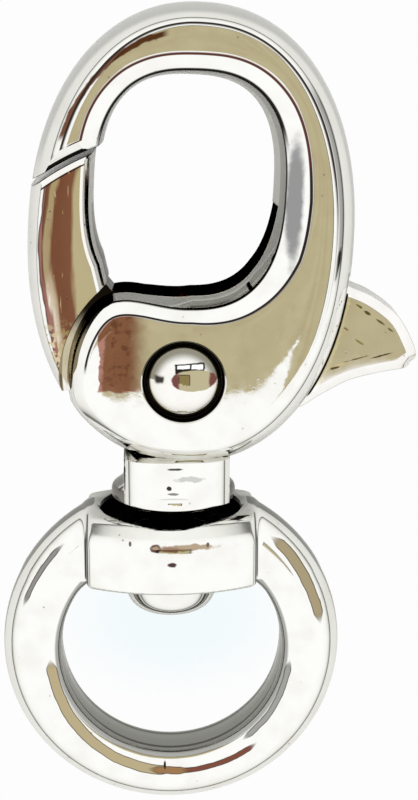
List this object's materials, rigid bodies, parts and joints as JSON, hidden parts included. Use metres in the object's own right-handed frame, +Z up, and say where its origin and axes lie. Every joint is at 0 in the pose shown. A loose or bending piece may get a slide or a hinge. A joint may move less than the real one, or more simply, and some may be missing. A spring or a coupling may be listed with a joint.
{
  "type": "swivel snap hook",
  "caption": "Swivel snap hook with an oval cast body, a sprung gate with a thumb tab, and a round strap eye that turns on a button-headed rivet.",
  "frame": {"origin": "centre of the strap eye, on the middle plane of the casting", "axes": "+Y along the swivel axis toward the hook tip, +X toward the thumb tab, +Z up through the front face; the hook lies on its back"},
  "size_m": [0.0368, 0.0722, 0.0148],
  "materials": {
    "plated_body": "bright nickel plate on die-cast zinc, polished",
    "plated_gate": "bright nickel plate on die-cast zinc, polished",
    "plated_eye": "bright nickel plate on die-cast zinc, polished",
    "plated_rivets": "bright nickel plate on steel",
    "spring_wire": "drawn spring steel wire"
  },
  "bodies": {
    "hook": {"hook_body": "plated_body", "gate_rivet": "plated_rivets", "gate_spring": "spring_wire", "swivel_rivet": "plated_rivets"},
    "gate": {"gate_lever": "plated_gate"},
    "eye": {"swivel_eye": "plated_eye"}
  },
  "joints": [
    {"name": "gate_pivot", "type": "hinge", "parent": "hook", "child": "gate", "pos_m": [0.0011, 0.0254, 0], "axis": [0, 0, -1], "range_deg": [0, 24], "stiffness_Nm_per_rad": 0.05, "springref_deg": -22.92, "deforming": ["gate_spring"]},
    {"name": "eye_swivel", "type": "hinge", "parent": "hook", "child": "eye", "pos_m": [0, 0, 0], "axis": [0, 1, 0], "continuous": true}
  ]
}
